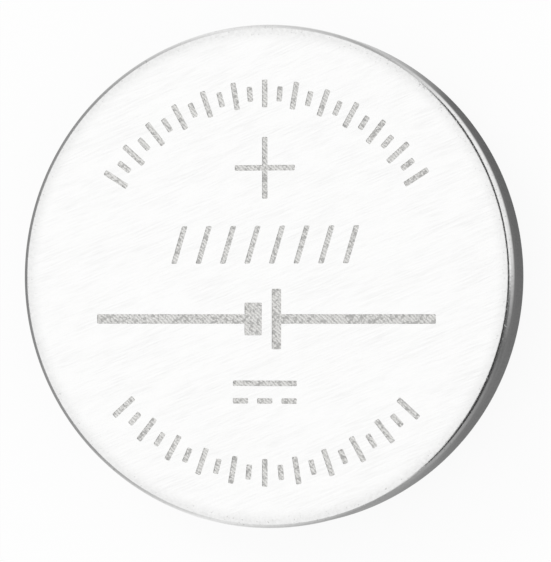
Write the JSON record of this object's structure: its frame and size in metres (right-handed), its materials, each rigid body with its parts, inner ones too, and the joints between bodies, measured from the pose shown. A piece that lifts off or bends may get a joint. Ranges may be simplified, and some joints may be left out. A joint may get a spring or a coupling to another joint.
{
  "type": "lithium coin cell",
  "caption": "Flat round sealed cell: a steel can with the positive face is crimped through a gasket over a negative cap, around a lithium disc, a separator and a pressed cathode.",
  "frame": {"origin": "centre of the flat of the negative cap, on the surface that the cell lies on", "axes": "+Z along the axis of the cell, out of the positive face; +Y towards the plus sign on the face; +X to its right"},
  "size_m": [0.02, 0.02, 0.0032],
  "materials": {
    "can_steel": "bright rolled stainless sheet with a faint grain, its marks etched with a fine slanted hatch",
    "gasket_plastic": "smooth moulded polypropylene",
    "cap_steel": "rolled stainless sheet with a satin grain",
    "lithium_metal": "soft dull silvery metal",
    "separator_fleece": "thin white non-woven fleece",
    "cathode_powder": "pressed black powder, matt",
    "collector_mesh": "thin perforated stainless sheet"
  },
  "bodies": {
    "root": {"positive_can": "can_steel", "sealing_gasket": "gasket_plastic", "negative_cap": "cap_steel", "lithium_anode": "lithium_metal", "separator": "separator_fleece", "cathode_pellet": "cathode_powder", "current_collector": "collector_mesh"}
  },
  "joints": []
}
